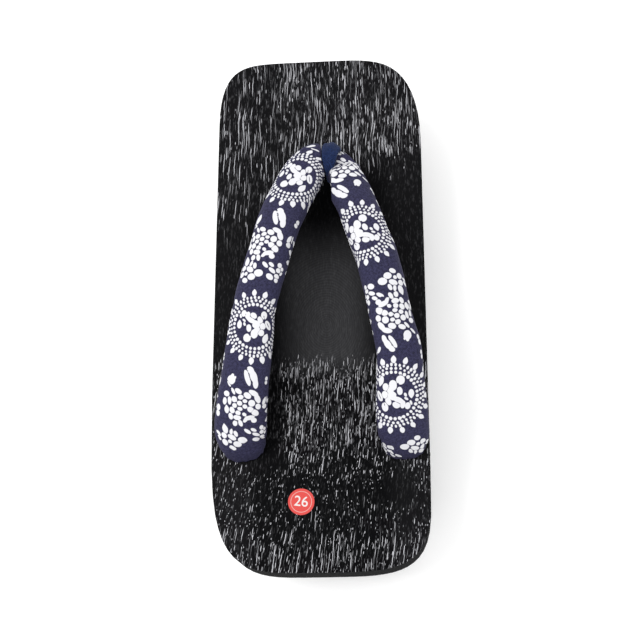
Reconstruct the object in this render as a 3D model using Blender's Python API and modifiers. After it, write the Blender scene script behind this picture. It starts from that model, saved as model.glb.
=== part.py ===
"""Left geta sandal: a wooden deck on two cross teeth, with a padded V strap and a toe loop.

The origin is on the floor, under the middle of the deck. +Y points to the toe, +X to the big-toe side, +Z up.
"""

import math

import bmesh
import bpy
from mathutils import Matrix, Vector

# Deck
DECK_LENGTH = 0.265
DECK_WIDTH = 0.1058
DECK_THICKNESS = 0.022
DECK_TOP = 0.052
DECK_EDGE = 0.0013
TOE_CAP = 0.043
HEEL_CAP = 0.066

# Teeth: each stands just behind the knots of its cord holes
TOOTH_FROM_SIDE = 0.0025
TOOTH_THICKNESS = 0.022
TOOTH_EDGE = 0.001
TOOTH_INLET = 0.004
TOOTH_BEHIND_FRONT_KNOT = 0.0095
TOOTH_BEHIND_REAR_KNOTS = 0.0012

# Cord holes: the front one lies off the deck's middle line, and the rear ones in from its sides.
FRONT_HOLE_FROM_TOE = 0.0640
FRONT_HOLE_OFF_MIDDLE = 0.0075
LEFT_HOLE_FROM_HEEL = 0.0625
LEFT_HOLE_FROM_SIDE = 0.0154
RIGHT_HOLE_FROM_HEEL = 0.0605
RIGHT_HOLE_FROM_SIDE = 0.0124
REAR_HOLE_RADIUS = 0.0040

# Strap
STRAP_WIDTH = 0.0210
STRAP_THICKNESS = 0.0140
STRAP_RISE = 0.0320
STRAP_BANK = math.radians(9)
STRAP_PLUG_DEPTH = 0.0060

# Toe loop
LOOP_BAND = 0.0042
LOOP_WIDTH = 0.0090
LOOP_STEM_WIDTH = 0.0062
LOOP_STEM_DEPTH = 0.0078
LOOP_BELOW_TOP = 0.0060
LOOP_EDGE = 0.0015
LOOP_SWELL = 1.3

# Cords and knots under the deck
CORD_RADIUS = 0.0022
KNOT_CORD_RADIUS = 0.0024
CORD_TAIL = 0.0120

# What fits or meets keeps this gap, and cutters run this far past what they cut.
GAP = 0.0003
CUT_BEYOND = 0.010
SHARP_ANGLE = math.radians(40)

# The strap's neck inside the toe loop, as shares of the strap's width, thickness and rise
NECK_WIDTH_SHARE = 0.56
NECK_THICK_SHARE = 0.65
NECK_RISE_SHARE = 0.46

# One row for each quarter of the deck's outline, a superellipse: how far its side stands out as a share of
# half the deck's width, how long it is as a share of its cap, and how square it is across and along.
QUARTERS = {
    "toe left": (0.970, 0.88, 6.5, 2.6),
    "toe right": (1.000, 1.12, 4.7, 2.2),
    "heel left": (1.000, 1.29, 4.5, 4.2),
    "heel right": (0.990, 0.73, 4.1, 4.2),
}
QUARTER_STEPS = 15

# One row for each section of an arm, from the loop to the rear hole. along and across are shares of the way
# from the front hole to the rear hole, rise of STRAP_RISE, width and thick of the strap's own sizes, and
# bank of STRAP_BANK.
COLUMNS = ("along", "across", "rise", "width", "thick", "bank")
LEFT_ARM = (
    (-0.014, -0.06, NECK_RISE_SHARE, NECK_WIDTH_SHARE, NECK_THICK_SHARE, 0.0),
    (-0.006, 0.10, 0.500, 0.88, 0.87, 0.1),
    (0.036, 0.24, 0.575, 0.95, 0.97, 0.4),
    (0.104, 0.36, 0.680, 0.95, 1.00, 0.8),
    (0.240, 0.535, 0.850, 0.94, 1.00, 1.0),
    (0.360, 0.65, 0.955, 0.96, 1.00, 1.0),
    (0.490, 0.75, 1.000, 0.99, 1.00, 1.0),
    (0.600, 0.82, 0.980, 1.02, 1.00, 0.9),
    (0.720, 0.88, 0.880, 1.06, 0.99, 0.6),
    (0.840, 0.94, 0.700, 1.13, 0.96, 0.3),
    (0.920, 0.97, 0.510, 1.20, 0.93, 0.1),
    (0.972, 0.99, 0.310, 1.22, 0.90, 0.0),
    (0.997, 1.00, 0.110, 1.12, 0.88, 0.0),
    (1.003, 1.00, -0.080, 1.00, 0.84, 0.0),
)
RIGHT_ARM = (
    (-0.012, -0.08, NECK_RISE_SHARE, NECK_WIDTH_SHARE, NECK_THICK_SHARE, 0.0),
    (0.015, 0.09, 0.510, 0.80, 0.86, 0.1),
    (0.052, 0.20, 0.580, 0.88, 0.97, 0.4),
    (0.110, 0.32, 0.680, 0.89, 1.00, 0.8),
    (0.200, 0.43, 0.800, 0.90, 1.00, 1.0),
    (0.300, 0.56, 0.905, 0.92, 1.00, 1.0),
    (0.400, 0.69, 0.975, 0.96, 1.00, 1.0),
    (0.510, 0.80, 1.000, 0.99, 1.00, 1.0),
    (0.620, 0.875, 0.965, 1.00, 1.00, 0.8),
    (0.730, 0.93, 0.865, 1.03, 0.99, 0.6),
    (0.840, 0.965, 0.700, 1.12, 0.96, 0.3),
    (0.920, 0.98, 0.510, 1.19, 0.93, 0.1),
    (0.972, 0.99, 0.310, 1.20, 0.90, 0.0),
    (0.997, 1.00, 0.110, 1.10, 0.88, 0.0),
    (1.003, 1.00, -0.080, 1.00, 0.84, 0.0),
)
SECTIONS_PER_ROW = 3
SECTION_SIDES = 20
# An arm's direction is taken between two places this far each way, in rows.
ROWS_EACH_WAY = 0.05

# A section's shape: exponents under 1 square it, and its sole is flatter than its back.
BACK_SQUARE = 0.80
SOLE_SQUARE = 0.65
SOLE_SHARE = 0.86

# One row for each bend of a cord's tail, as shares of its length out of the knot and down from it.
TAIL_BENDS = ((0.3, 0.25), (0.7, 0.40), (1.0, 0.45))
KNOT_SIDES = 10
CIRCLE_SIDES = 24
LOOP_STEPS = 9

TOE_Y = DECK_LENGTH / 2
HEEL_Y = -TOE_Y
FRONT_HOLE_Y = TOE_Y - FRONT_HOLE_FROM_TOE
DECK_BOTTOM = DECK_TOP - DECK_THICKNESS
NECK_HEIGHT = NECK_RISE_SHARE * STRAP_RISE
# The knot's turn presses a fifth of the cord's radius into the cord that it is tied in.
KNOT_RADIUS = KNOT_CORD_RADIUS + 0.8 * CORD_RADIUS
KNOT_REACH = KNOT_RADIUS + KNOT_CORD_RADIUS


def clear_scene():
    for obj in list(bpy.data.objects):
        bpy.data.objects.remove(obj, do_unlink=True)


def new_collection(name):
    collection = bpy.data.collections.new(name)
    bpy.context.scene.collection.children.link(collection)
    return collection


def new_material(name, colour, roughness):
    material = bpy.data.materials.new(name)
    material.use_nodes = True
    surface = material.node_tree.nodes["Principled BSDF"]
    surface.inputs["Base Color"].default_value = (*colour, 1)
    surface.inputs["Roughness"].default_value = roughness
    surface.inputs["Metallic"].default_value = 0
    return material


def place(obj, collection, material=None):
    """Moves an object into its collection, gives it its material and shades its curves smooth."""
    for old in list(obj.users_collection):
        old.objects.unlink(obj)
    collection.objects.link(obj)
    if material:
        obj.data.materials.clear()
        obj.data.materials.append(material)
        obj.data.shade_smooth()
        obj.data.set_sharp_from_angle(angle=SHARP_ANGLE)
    return obj


def as_cutter(obj, cutters):
    place(obj, cutters)
    obj.hide_render = True
    obj.display_type = "WIRE"
    return obj


def boolean(obj, other, operation):
    modifier = obj.modifiers.new(f"{operation.lower()} {other.name}", "BOOLEAN")
    modifier.operation = operation
    modifier.object = other
    modifier.solver = "EXACT"


def bevel(obj, width, segments=2):
    modifier = obj.modifiers.new("rounded edges", "BEVEL")
    modifier.width = width
    modifier.segments = segments
    modifier.limit_method = "ANGLE"
    modifier.angle_limit = SHARP_ANGLE


def mesh_from_curve(curve_object):
    """Turns a curve object into a mesh object with welded caps, in the same place."""
    bpy.context.view_layer.update()
    graph = bpy.context.evaluated_depsgraph_get()
    mesh = bpy.data.meshes.new_from_object(curve_object.evaluated_get(graph))
    work = bmesh.new()
    work.from_mesh(mesh)
    bmesh.ops.remove_doubles(work, verts=work.verts, dist=1e-6)
    bmesh.ops.recalc_face_normals(work, faces=work.faces)
    work.to_mesh(mesh)
    work.free()
    made = bpy.data.objects.new(curve_object.name + " mesh", mesh)
    made.matrix_world = curve_object.matrix_world.copy()
    bpy.context.scene.collection.objects.link(made)
    name = curve_object.name
    bpy.data.objects.remove(curve_object, do_unlink=True)
    made.name = name
    return made


def flat_outline(name, outlines, thickness, edge=0.0):
    """A 2D curve of closed outlines, filled and as thick as asked, with its edges rounded inward by edge."""
    curve = bpy.data.curves.new(name, "CURVE")
    curve.dimensions = "2D"
    curve.fill_mode = "BOTH"
    curve.extrude = thickness / 2 - edge
    curve.bevel_depth = edge
    curve.bevel_resolution = 1
    curve.offset = -edge
    for outline in outlines:
        spline = curve.splines.new("POLY")
        spline.points.add(len(outline) - 1)
        for point, (x, y) in zip(spline.points, outline):
            point.co = (x, y, 0, 1)
        spline.use_cyclic_u = True
    obj = bpy.data.objects.new(name, curve)
    bpy.context.scene.collection.objects.link(obj)
    return mesh_from_curve(obj)


def cylinder(name, radius, bottom, top, x, y, sides=CIRCLE_SIDES):
    bpy.ops.mesh.primitive_cylinder_add(
        vertices=sides, radius=radius, depth=top - bottom, location=(x, y, (top + bottom) / 2)
    )
    obj = bpy.context.object
    obj.name = name
    return obj


def hole_places():
    """The three cord holes, as (name, x, y, radius). The front one just passes the toe loop's stem."""
    corner = math.hypot(loop_half_width(0) - LOOP_EDGE, LOOP_STEM_DEPTH / 2 - LOOP_EDGE) + LOOP_EDGE
    return (
        ("front", FRONT_HOLE_OFF_MIDDLE, FRONT_HOLE_Y, corner + GAP),
        ("left", LEFT_HOLE_FROM_SIDE - DECK_WIDTH / 2, HEEL_Y + LEFT_HOLE_FROM_HEEL, REAR_HOLE_RADIUS),
        ("right", DECK_WIDTH / 2 - RIGHT_HOLE_FROM_SIDE, HEEL_Y + RIGHT_HOLE_FROM_HEEL, REAR_HOLE_RADIUS),
    )


def outline_quarter(name, cap):
    """A quarter of the outline, from the middle of the deck's end at (0, 0) back to the side."""
    out, long, across, along = QUARTERS[name]
    half = out * DECK_WIDTH / 2
    depth = long * cap
    points = [(0.0, 0.0)]
    for i in range(1, QUARTER_STEPS):
        # The points stand closer near the end's middle, where the outline turns least evenly.
        angle = math.pi / 2 * (1 - (i / QUARTER_STEPS) ** 1.5)
        x = half * math.cos(angle) ** (2 / across)
        y = depth * (math.sin(angle) ** (2 / along) - 1)
        points.append((x, y))
    points.append((half, -depth))
    return points


def deck_outline():
    """The deck's outline, once round from the middle of the toe."""
    toe_left = [(x, TOE_Y + y) for x, y in outline_quarter("toe left", TOE_CAP)]
    toe_right = [(x, TOE_Y + y) for x, y in outline_quarter("toe right", TOE_CAP)]
    heel_left = [(x, HEEL_Y - y) for x, y in outline_quarter("heel left", HEEL_CAP)]
    heel_right = [(x, HEEL_Y - y) for x, y in outline_quarter("heel right", HEEL_CAP)]
    right = toe_right + heel_right[::-1]
    left = [(-x, y) for x, y in heel_left[1:] + toe_left[:0:-1]]
    return right + left


def make_deck(parts, cutters, wood):
    deck = flat_outline("deck", [deck_outline()], DECK_THICKNESS)
    deck.location.z = DECK_TOP - DECK_THICKNESS / 2
    bevel(deck, DECK_EDGE)
    for name, x, y, radius in hole_places():
        bottom, top = DECK_BOTTOM - CUT_BEYOND, DECK_TOP + CUT_BEYOND
        cutter = cylinder(f"{name} hole cutter", radius, bottom, top, x, y)
        boolean(deck, as_cutter(cutter, cutters), "DIFFERENCE")
    for name, y in tooth_places():
        cutter = tooth_block(f"{name} inlet cutter", y, GAP)
        boolean(deck, as_cutter(cutter, cutters), "DIFFERENCE")
    return place(deck, parts, wood)


def tooth_places():
    """The middle of each tooth along the sandal."""
    rear_hole_y = HEEL_Y + min(LEFT_HOLE_FROM_HEEL, RIGHT_HOLE_FROM_HEEL)
    behind = KNOT_REACH + TOOTH_THICKNESS / 2
    return (
        ("front_tooth", FRONT_HOLE_Y - behind - TOOTH_BEHIND_FRONT_KNOT),
        ("rear_tooth", rear_hole_y - behind - TOOTH_BEHIND_REAR_KNOTS),
    )


def tooth_block(name, y, clearance):
    """A tooth from the floor up into its inlet, or with a clearance the block that cuts the inlet."""
    top = DECK_BOTTOM + TOOTH_INLET + clearance
    bpy.ops.mesh.primitive_cube_add(size=1, location=(0, y, top / 2))
    block = bpy.context.object
    block.name = name
    width = DECK_WIDTH - 2 * TOOTH_FROM_SIDE
    size = (width + 2 * clearance, TOOTH_THICKNESS + 2 * clearance, top)
    for vertex in block.data.vertices:
        vertex.co = Vector(c * s for c, s in zip(vertex.co, size))
    return block


def make_teeth(parts, wood):
    for name, y in tooth_places():
        tooth = tooth_block(name, y, 0)
        bevel(tooth, TOOTH_EDGE)
        place(tooth, parts, wood)


def smooth_value(values, place_in_rows):
    """A Catmull-Rom curve through the values of one column, at a place counted in rows."""
    i = min(int(place_in_rows), len(values) - 2)
    t = place_in_rows - i
    b, c = values[i], values[i + 1]
    a = values[i - 1] if i else 2 * b - c
    d = values[i + 2] if i + 2 < len(values) else 2 * c - b
    slope, bend, turn = c - a, 2 * a - 5 * b + 4 * c - d, 3 * b - a - 3 * c + d
    return b + 0.5 * (slope * t + bend * t**2 + turn * t**3)


def arm_row(rows, place_in_rows):
    return {name: smooth_value([row[i] for row in rows], place_in_rows) for i, name in enumerate(COLUMNS)}


def arm_middle(rows, hole, place_in_rows):
    """The middle of an arm's section, in the world."""
    row = arm_row(rows, place_in_rows)
    hole_x, hole_y = hole
    return Vector(
        (
            FRONT_HOLE_OFF_MIDDLE + row["across"] * (hole_x - FRONT_HOLE_OFF_MIDDLE),
            FRONT_HOLE_Y + row["along"] * (hole_y - FRONT_HOLE_Y),
            DECK_TOP + row["rise"] * STRAP_RISE,
        )
    )


def strap_section(middle, side, normal, width, thickness):
    """One closed section: a full round back above and a flatter sole below."""
    points = []
    for i in range(SECTION_SIDES):
        angle = 2 * math.pi * i / SECTION_SIDES
        x = math.copysign(abs(math.cos(angle)) ** BACK_SQUARE, math.cos(angle))
        z = math.sin(angle)
        if z < 0:
            z = -(abs(z) ** SOLE_SQUARE) * SOLE_SHARE
        points.append(middle + side * (x * width / 2) + normal * (z * thickness / 2))
    return points


def arm_sections(rows, hole, lean):
    """The sections of one arm, from the toe loop to its rear hole. lean is +1 where +X is outward."""
    sections = []
    for step in range((len(rows) - 1) * SECTIONS_PER_ROW + 1):
        at = step / SECTIONS_PER_ROW
        row = arm_row(rows, at)
        ahead = arm_middle(rows, hole, min(at + ROWS_EACH_WAY, len(rows) - 1))
        behind = arm_middle(rows, hole, max(at - ROWS_EACH_WAY, 0))
        run = (ahead - behind).normalized()
        side = Vector((-run.y, run.x, 0)).normalized()
        normal = run.cross(side).normalized()
        bank = -lean * row["bank"] * STRAP_BANK
        turned_side = side * math.cos(bank) + normal * math.sin(bank)
        turned_normal = normal * math.cos(bank) - side * math.sin(bank)
        width, thickness = row["width"] * STRAP_WIDTH, row["thick"] * STRAP_THICKNESS
        middle = arm_middle(rows, hole, at)
        sections.append(strap_section(middle, turned_side, turned_normal, width, thickness))
    return sections


def loft(name, sections):
    """A closed body through sections of equal point counts, with one flat face at each end."""
    work = bmesh.new()
    rings = [[work.verts.new(point) for point in section] for section in sections]
    for ring, after in zip(rings, rings[1:]):
        for i in range(len(ring)):
            j = (i + 1) % len(ring)
            work.faces.new((ring[i], ring[j], after[j], after[i]))
    work.faces.new(rings[0])
    work.faces.new(rings[-1])
    bmesh.ops.recalc_face_normals(work, faces=work.faces)
    mesh = bpy.data.meshes.new(name)
    work.to_mesh(mesh)
    work.free()
    obj = bpy.data.objects.new(name, mesh)
    bpy.context.scene.collection.objects.link(obj)
    return obj


def make_strap(parts, cutters, cloth):
    """Both arms as one body, flat on the deck, pinched by the toe loop and plugged into the rear holes."""
    holes = {name: (x, y, radius) for name, x, y, radius in hole_places()}
    strap = loft("strap", arm_sections(LEFT_ARM, holes["left"][:2], -1))
    right = loft("right arm", arm_sections(RIGHT_ARM, holes["right"][:2], 1))
    boolean(strap, as_cutter(right, cutters), "UNION")
    bpy.ops.mesh.primitive_cube_add(size=1, location=(0, 0, 0))
    under = bpy.context.object
    under.name = "deck plane cutter"
    for vertex in under.data.vertices:
        x, y, z = vertex.co
        vertex.co = (x * 2 * DECK_WIDTH, y * 2 * DECK_LENGTH, DECK_TOP + GAP if z > 0 else 0)
    boolean(strap, as_cutter(under, cutters), "DIFFERENCE")
    boolean(strap, as_cutter(loop_ring("toe loop cutter", GAP), cutters), "DIFFERENCE")
    bottom, top = DECK_TOP - STRAP_PLUG_DEPTH, DECK_TOP + STRAP_THICKNESS / 3
    for name in ("left", "right"):
        x, y, radius = holes[name]
        plug = cylinder(f"{name} strap plug", radius - GAP, bottom, top, x, y)
        boolean(strap, as_cutter(plug, cutters), "UNION")
    return place(strap, parts, cloth)


def loop_crown():
    """How far the toe loop reaches in front of the neck's middle, and over it."""
    reach = NECK_WIDTH_SHARE * STRAP_WIDTH / 2 + LOOP_BAND
    rise = NECK_THICK_SHARE * STRAP_THICKNESS / 2 + LOOP_BAND
    return reach, rise


def loop_half_width(height):
    """Half the toe loop's width across the sandal, at a height over the deck. It tapers towards the hole."""
    whole = NECK_HEIGHT + loop_crown()[1] + LOOP_BELOW_TOP
    share = (height + LOOP_BELOW_TOP) / whole
    return (LOOP_STEM_WIDTH + (LOOP_WIDTH - LOOP_STEM_WIDTH) * share) / 2


def loop_outline(clearance):
    """The toe loop's outline from the side, once round from the foot of its stem."""
    reach, rise = loop_crown()
    stem = LOOP_STEM_DEPTH / 2
    front = [(stem + clearance, -LOOP_BELOW_TOP - clearance)]
    for i in range(LOOP_STEPS):
        swell = math.sin(i / LOOP_STEPS * math.pi / 2) ** LOOP_SWELL
        front.append((stem + (reach - stem) * swell + clearance, NECK_HEIGHT * i / LOOP_STEPS))
    for i in range(LOOP_STEPS):
        angle = math.pi / 2 * i / LOOP_STEPS
        y = (reach + clearance) * math.cos(angle)
        front.append((y, NECK_HEIGHT + (rise + clearance) * math.sin(angle)))
    back = [(-y, z) for y, z in reversed(front)]
    return front + [(0.0, NECK_HEIGHT + rise + clearance)] + back


def loop_window(clearance):
    """The opening that the strap's neck fills."""
    reach, rise = loop_crown()
    points = []
    for i in range(CIRCLE_SIDES):
        angle = 2 * math.pi * i / CIRCLE_SIDES
        y = (reach - LOOP_BAND - clearance) * math.cos(angle)
        z = (rise - LOOP_BAND - clearance) * math.sin(angle)
        points.append((y, NECK_HEIGHT + z))
    return points


def loop_ring(name, clearance):
    """The toe loop's ring round the strap's neck, with its stem down into the front hole."""
    outlines = [loop_outline(clearance), loop_window(clearance)]
    ring = flat_outline(name, outlines, LOOP_WIDTH + 2 * clearance, LOOP_EDGE)
    # The outline's x runs along the sandal and its y runs up.
    ring.data.transform(Matrix(((0, 0, 1, 0), (1, 0, 0, 0), (0, 1, 0, 0), (0, 0, 0, 1))))
    for vertex in ring.data.vertices:
        taper = loop_half_width(vertex.co.z) + clearance
        vertex.co.x *= taper / (LOOP_WIDTH / 2 + clearance)
    ring.location = (FRONT_HOLE_OFF_MIDDLE, FRONT_HOLE_Y, DECK_TOP)
    return ring


def make_toe_loop(parts, cloth):
    return place(loop_ring("toe_loop", 0), parts, cloth)


def cord_tube(name, points):
    curve = bpy.data.curves.new(name, "CURVE")
    curve.dimensions = "3D"
    curve.bevel_depth = CORD_RADIUS
    curve.bevel_resolution = 2
    curve.use_fill_caps = True
    spline = curve.splines.new("POLY")
    spline.points.add(len(points) - 1)
    for point, place_of in zip(spline.points, points):
        point.co = (*place_of, 1)
    obj = bpy.data.objects.new(name, curve)
    bpy.context.scene.collection.objects.link(obj)
    return mesh_from_curve(obj)


def make_cord(name, x, y, above, parts, cutters, fibre):
    """A core cord from inside its hole down to the knot that holds it under the deck, with two tails."""
    knot_z = DECK_BOTTOM - GAP - KNOT_CORD_RADIUS
    stem = [(x, y, DECK_TOP - above - GAP), (x, y, DECK_BOTTOM), (x, y, knot_z)]
    left, right = (
        [(x + lean * CORD_TAIL * out, y, knot_z - CORD_TAIL * down) for out, down in TAIL_BENDS]
        for lean in (-1, 1)
    )
    cord = cord_tube(name, stem + left)
    other = cord_tube(f"{name} tail", stem[-1:] + right)
    boolean(cord, as_cutter(other, cutters), "UNION")
    bpy.ops.mesh.primitive_torus_add(
        major_radius=KNOT_RADIUS,
        minor_radius=KNOT_CORD_RADIUS,
        major_segments=CIRCLE_SIDES,
        minor_segments=KNOT_SIDES,
        location=(x, y, knot_z),
    )
    knot = bpy.context.object
    knot.name = f"{name} knot"
    boolean(cord, as_cutter(knot, cutters), "UNION")
    return place(cord, parts, fibre)


def main():
    clear_scene()
    parts = new_collection("geta sandal")
    cutters = new_collection("cutters")
    black_wood = new_material("black lacquered wood", (0.012, 0.012, 0.013), 0.32)
    print_cloth = new_material("navy print cotton", (0.035, 0.033, 0.090), 0.85)
    blue_cloth = new_material("blue cotton", (0.012, 0.030, 0.095), 0.90)
    fibre = new_material("black cord", (0.020, 0.020, 0.022), 0.85)
    make_deck(parts, cutters, black_wood)
    make_teeth(parts, black_wood)
    make_strap(parts, cutters, print_cloth)
    make_toe_loop(parts, blue_cloth)
    for name, x, y, _ in hole_places():
        above = LOOP_BELOW_TOP if name == "front" else STRAP_PLUG_DEPTH
        make_cord(f"{name}_cord", x, y, above, parts, cutters, fibre)


main()
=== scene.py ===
import math
import bpy
import numpy as np
from mathutils import Matrix, Vector


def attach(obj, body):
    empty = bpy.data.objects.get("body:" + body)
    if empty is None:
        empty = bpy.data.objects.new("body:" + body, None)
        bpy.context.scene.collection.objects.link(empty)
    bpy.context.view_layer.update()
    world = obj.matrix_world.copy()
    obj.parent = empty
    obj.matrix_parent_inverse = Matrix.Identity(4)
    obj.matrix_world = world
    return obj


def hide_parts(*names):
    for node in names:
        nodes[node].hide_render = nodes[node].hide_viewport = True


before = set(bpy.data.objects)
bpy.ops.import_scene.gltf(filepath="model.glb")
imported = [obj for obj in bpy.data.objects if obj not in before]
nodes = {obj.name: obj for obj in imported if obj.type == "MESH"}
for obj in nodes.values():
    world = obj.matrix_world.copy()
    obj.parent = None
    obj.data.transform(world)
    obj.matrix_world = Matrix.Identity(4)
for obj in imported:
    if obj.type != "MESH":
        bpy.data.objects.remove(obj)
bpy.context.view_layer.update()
print("geta: frame loaded")

scene = bpy.context.scene
scene.view_settings.view_transform = "Standard"


# ---- small helpers for materials and meshes

def startMaterial(name):
    material = bpy.data.materials.new(name)
    material.use_nodes = True
    tree = material.node_tree
    return material, tree, tree.nodes["Principled BSDF"]


def addNode(tree, kind, inputs=None, **settings):
    node = tree.nodes.new(kind)
    for key, value in settings.items():
        setattr(node, key, value)
    for key, value in (inputs or {}).items():
        if isinstance(value, bpy.types.NodeSocket):
            tree.links.new(value, node.inputs[key])
        else:
            node.inputs[key].default_value = value
    return node


def calc(tree, operation, *values):
    inputs = dict(enumerate(values))
    return addNode(tree, "ShaderNodeMath", inputs, operation=operation).outputs[0]


def softStep(tree, value, low, high, before=0.0, after=1.0):
    inputs = {"Value": value, "From Min": low, "From Max": high, "To Min": before, "To Max": after}
    node = addNode(tree, "ShaderNodeMapRange", inputs, interpolation_type="SMOOTHSTEP")
    return node.outputs["Result"]


def mixColour(tree, share, first, second, how="MIX"):
    node = addNode(tree, "ShaderNodeMix", data_type="RGBA", blend_type=how)
    for key, value in ((0, share), (6, first), (7, second)):
        if isinstance(value, bpy.types.NodeSocket):
            tree.links.new(value, node.inputs[key])
        else:
            node.inputs[key].default_value = value
    return node.outputs[2]


def noiseOf(tree, vector, scale, detail=3.0, rough=0.5, out="Fac"):
    inputs = {"Vector": vector, "Scale": scale, "Detail": detail, "Roughness": rough}
    return addNode(tree, "ShaderNodeTexNoise", inputs).outputs[out]


def addBump(tree, shader, height, strength, distance):
    bump = addNode(tree, "ShaderNodeBump", {"Strength": strength, "Distance": distance, "Height": height})
    tree.links.new(bump.outputs["Normal"], shader.inputs["Normal"])


def plainSelect(obj):
    bpy.ops.object.select_all(action="DESELECT")
    obj.select_set(True)
    bpy.context.view_layer.objects.active = obj


def applyAll(obj):
    plainSelect(obj)
    for modifier in list(obj.modifiers):
        bpy.ops.object.modifier_apply(modifier=modifier.name)


def paint(obj, material):
    obj.data.materials.clear()
    obj.data.materials.append(material)


def pointsOf(obj):
    points = np.empty(len(obj.data.vertices) * 3, np.float32)
    obj.data.vertices.foreach_get("co", points)
    return points.reshape(-1, 3).astype(float)


def movePoints(obj, points):
    obj.data.vertices.foreach_set("co", np.asarray(points, np.float32).ravel())
    obj.data.update()


# ---- camera: the photo's own place and angle, turned to bring the one shoe to the middle

camera = {
    "place": (0.04884, -0.19780, 0.67170),
    "leanBack": 17.0,    # degrees from straight down, towards the heel side
    "turn": -1.87,
    "lens": 73.99,
    "aim": (0.0010, -0.0117, 0.0600),
}


def makeCamera():
    lean, turn = math.radians(camera["leanBack"]), math.radians(camera["turn"])
    photoAim = Vector((-math.sin(turn) * math.sin(lean), math.cos(turn) * math.sin(lean), -math.cos(lean)))
    photoUp = Vector((-math.sin(turn) * math.cos(lean), math.cos(turn) * math.cos(lean), math.sin(lean)))
    place = Vector(camera["place"])
    aim = (Vector(camera["aim"]) - place).normalized()
    up = photoAim.rotation_difference(aim) @ photoUp
    data = bpy.data.cameras.new("camera")
    data.lens = camera["lens"]
    data.sensor_width = 36
    obj = bpy.data.objects.new("camera", data)
    scene.collection.objects.link(obj)
    right = aim.cross(up).normalized()
    up = right.cross(aim)
    obj.location = place
    obj.rotation_mode = "QUATERNION"
    rows = ((right.x, up.x, -aim.x), (right.y, up.y, -aim.y), (right.z, up.z, -aim.z))
    obj.rotation_quaternion = Matrix(rows).to_quaternion()
    scene.camera = obj


makeCamera()
print("geta: camera placed")


# ---- the deck's black lacquer over brushed, raised grain, with painted glints, sheen, edge highlights and arm shadow

lacquer = {
    "black": (0.0012, 0.0012, 0.0016, 1),
    # the pale colour serves both the real grain and the painted glints, sheen and edge highlights
    "grainAndGlint": (0.54, 0.54, 0.57, 1),
    "roughness": 0.36, "shine": 0.028,
    "stroke": 0.00015,       # half width, metres
    "ripple": 0.0011,        # step of the faint rings in the middle
}


def strokeLayer(tree, x, y, width, length, wobble, share):
    # one painted glint on a raised grain line in each long cell: its width, length and brightness come from
    # the cell
    cell = {"X": calc(tree, "DIVIDE", x, width), "Y": calc(tree, "DIVIDE", y, length)}
    spot = addNode(tree, "ShaderNodeCombineXYZ", cell).outputs[0]
    cells = addNode(tree, "ShaderNodeTexVoronoi", {"Vector": spot, "Scale": 1.0}, voronoi_dimensions="2D")
    middle = {0: spot, 1: cells.outputs["Position"]}
    offset = addNode(tree, "ShaderNodeVectorMath", middle, operation="SUBTRACT").outputs[0]
    parts = addNode(tree, "ShaderNodeSeparateXYZ", {0: offset})
    chance = addNode(tree, "ShaderNodeSeparateColor", {0: cells.outputs["Color"]})
    across = calc(tree, "ABSOLUTE", calc(tree, "MULTIPLY_ADD", parts.outputs[0], width, wobble))
    along = calc(tree, "ABSOLUTE", parts.outputs[1])
    half = calc(tree, "MULTIPLY", softStep(tree, chance.outputs[0], 0.0, 1.0, 0.40, 1.0), lacquer["stroke"])
    reach = softStep(tree, chance.outputs[1], 0.0, 1.0, 0.20, 0.56)
    taper = calc(tree, "SUBTRACT", 1.0, calc(tree, "POWER", calc(tree, "DIVIDE", along, reach), 3.0))
    body = calc(tree, "SUBTRACT", calc(tree, "MULTIPLY", half, taper), across)
    stroke = softStep(tree, body, -0.00004, 0.00007)
    # the share is how many of the cells hold a stroke
    present = softStep(tree, calc(tree, "ADD", chance.outputs[2], share), 1.0, 1.12)
    level = softStep(tree, chance.outputs[0], 0.0, 1.0, 0.25, 1.0)
    return calc(tree, "MULTIPLY", calc(tree, "MULTIPLY", stroke, present), level)


def highest(tree, *values):
    result = values[0]
    for value in values[1:]:
        result = calc(tree, "MAXIMUM", result, value)
    return result


def product(tree, *values):
    result = values[0]
    for value in values[1:]:
        result = calc(tree, "MULTIPLY", result, value)
    return result


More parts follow.
